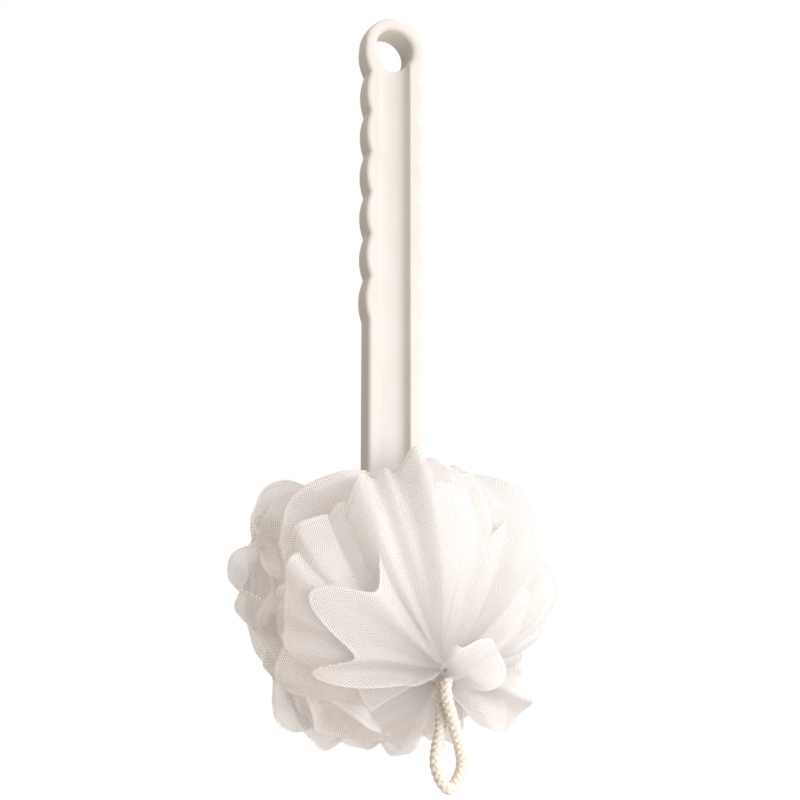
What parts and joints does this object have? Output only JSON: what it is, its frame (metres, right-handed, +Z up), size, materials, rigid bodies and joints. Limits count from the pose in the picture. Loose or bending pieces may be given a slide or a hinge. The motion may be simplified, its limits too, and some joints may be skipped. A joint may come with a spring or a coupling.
{
  "type": "back scrubber",
  "caption": "Long-handled bath scrubber: ring-headed handle with finger scallops, a ruffled netting pouf tied to its lower end, and a cotton hanging loop.",
  "frame": {"origin": "the top of the hanging hole's wall, midway through the handle, where a hook bears", "axes": "+Z up along the handle from the pouf to the ring head; the channelled front of the handle faces -Y; +X to the right seen from the front"},
  "size_m": [0.148, 0.126, 0.375],
  "materials": {
    "ivory_plastic": "satin moulded plastic, cream",
    "netting": "fine soft plastic netting, white, slightly see-through",
    "binding_cord": "thin twisted nylon cord, off-white",
    "cotton_rope": "braided cotton rope, unbleached"
  },
  "bodies": {
    "handle": {"handle": "ivory_plastic"},
    "pouf": {"netting_front": "netting", "netting_front_collar": "netting", "netting_rear_collar": "netting", "netting_rear": "netting", "binding_cord": "binding_cord", "rope_stem": "cotton_rope"},
    "knot": {"rope_knot": "cotton_rope"},
    "loop": {"rope_loop": "cotton_rope"}
  },
  "joints": [
    {"name": "pouf_rock", "type": "hinge", "parent": "handle", "child": "pouf", "pos_m": [0, 0, -0.284], "axis": [0, 1, 0], "range_deg": [-12, 12], "stiffness_Nm_per_rad": 0.2},
    {"name": "rope_swing", "type": "hinge", "parent": "pouf", "child": "knot", "pos_m": [0, -0.06, -0.316], "axis": [1, 0, 0], "range_deg": [-75, 8]},
    {"name": "loop_sway", "type": "hinge", "parent": "knot", "child": "loop", "pos_m": [0, -0.06, -0.316], "axis": [0, 1, 0], "range_deg": [-35, 35]}
  ]
}
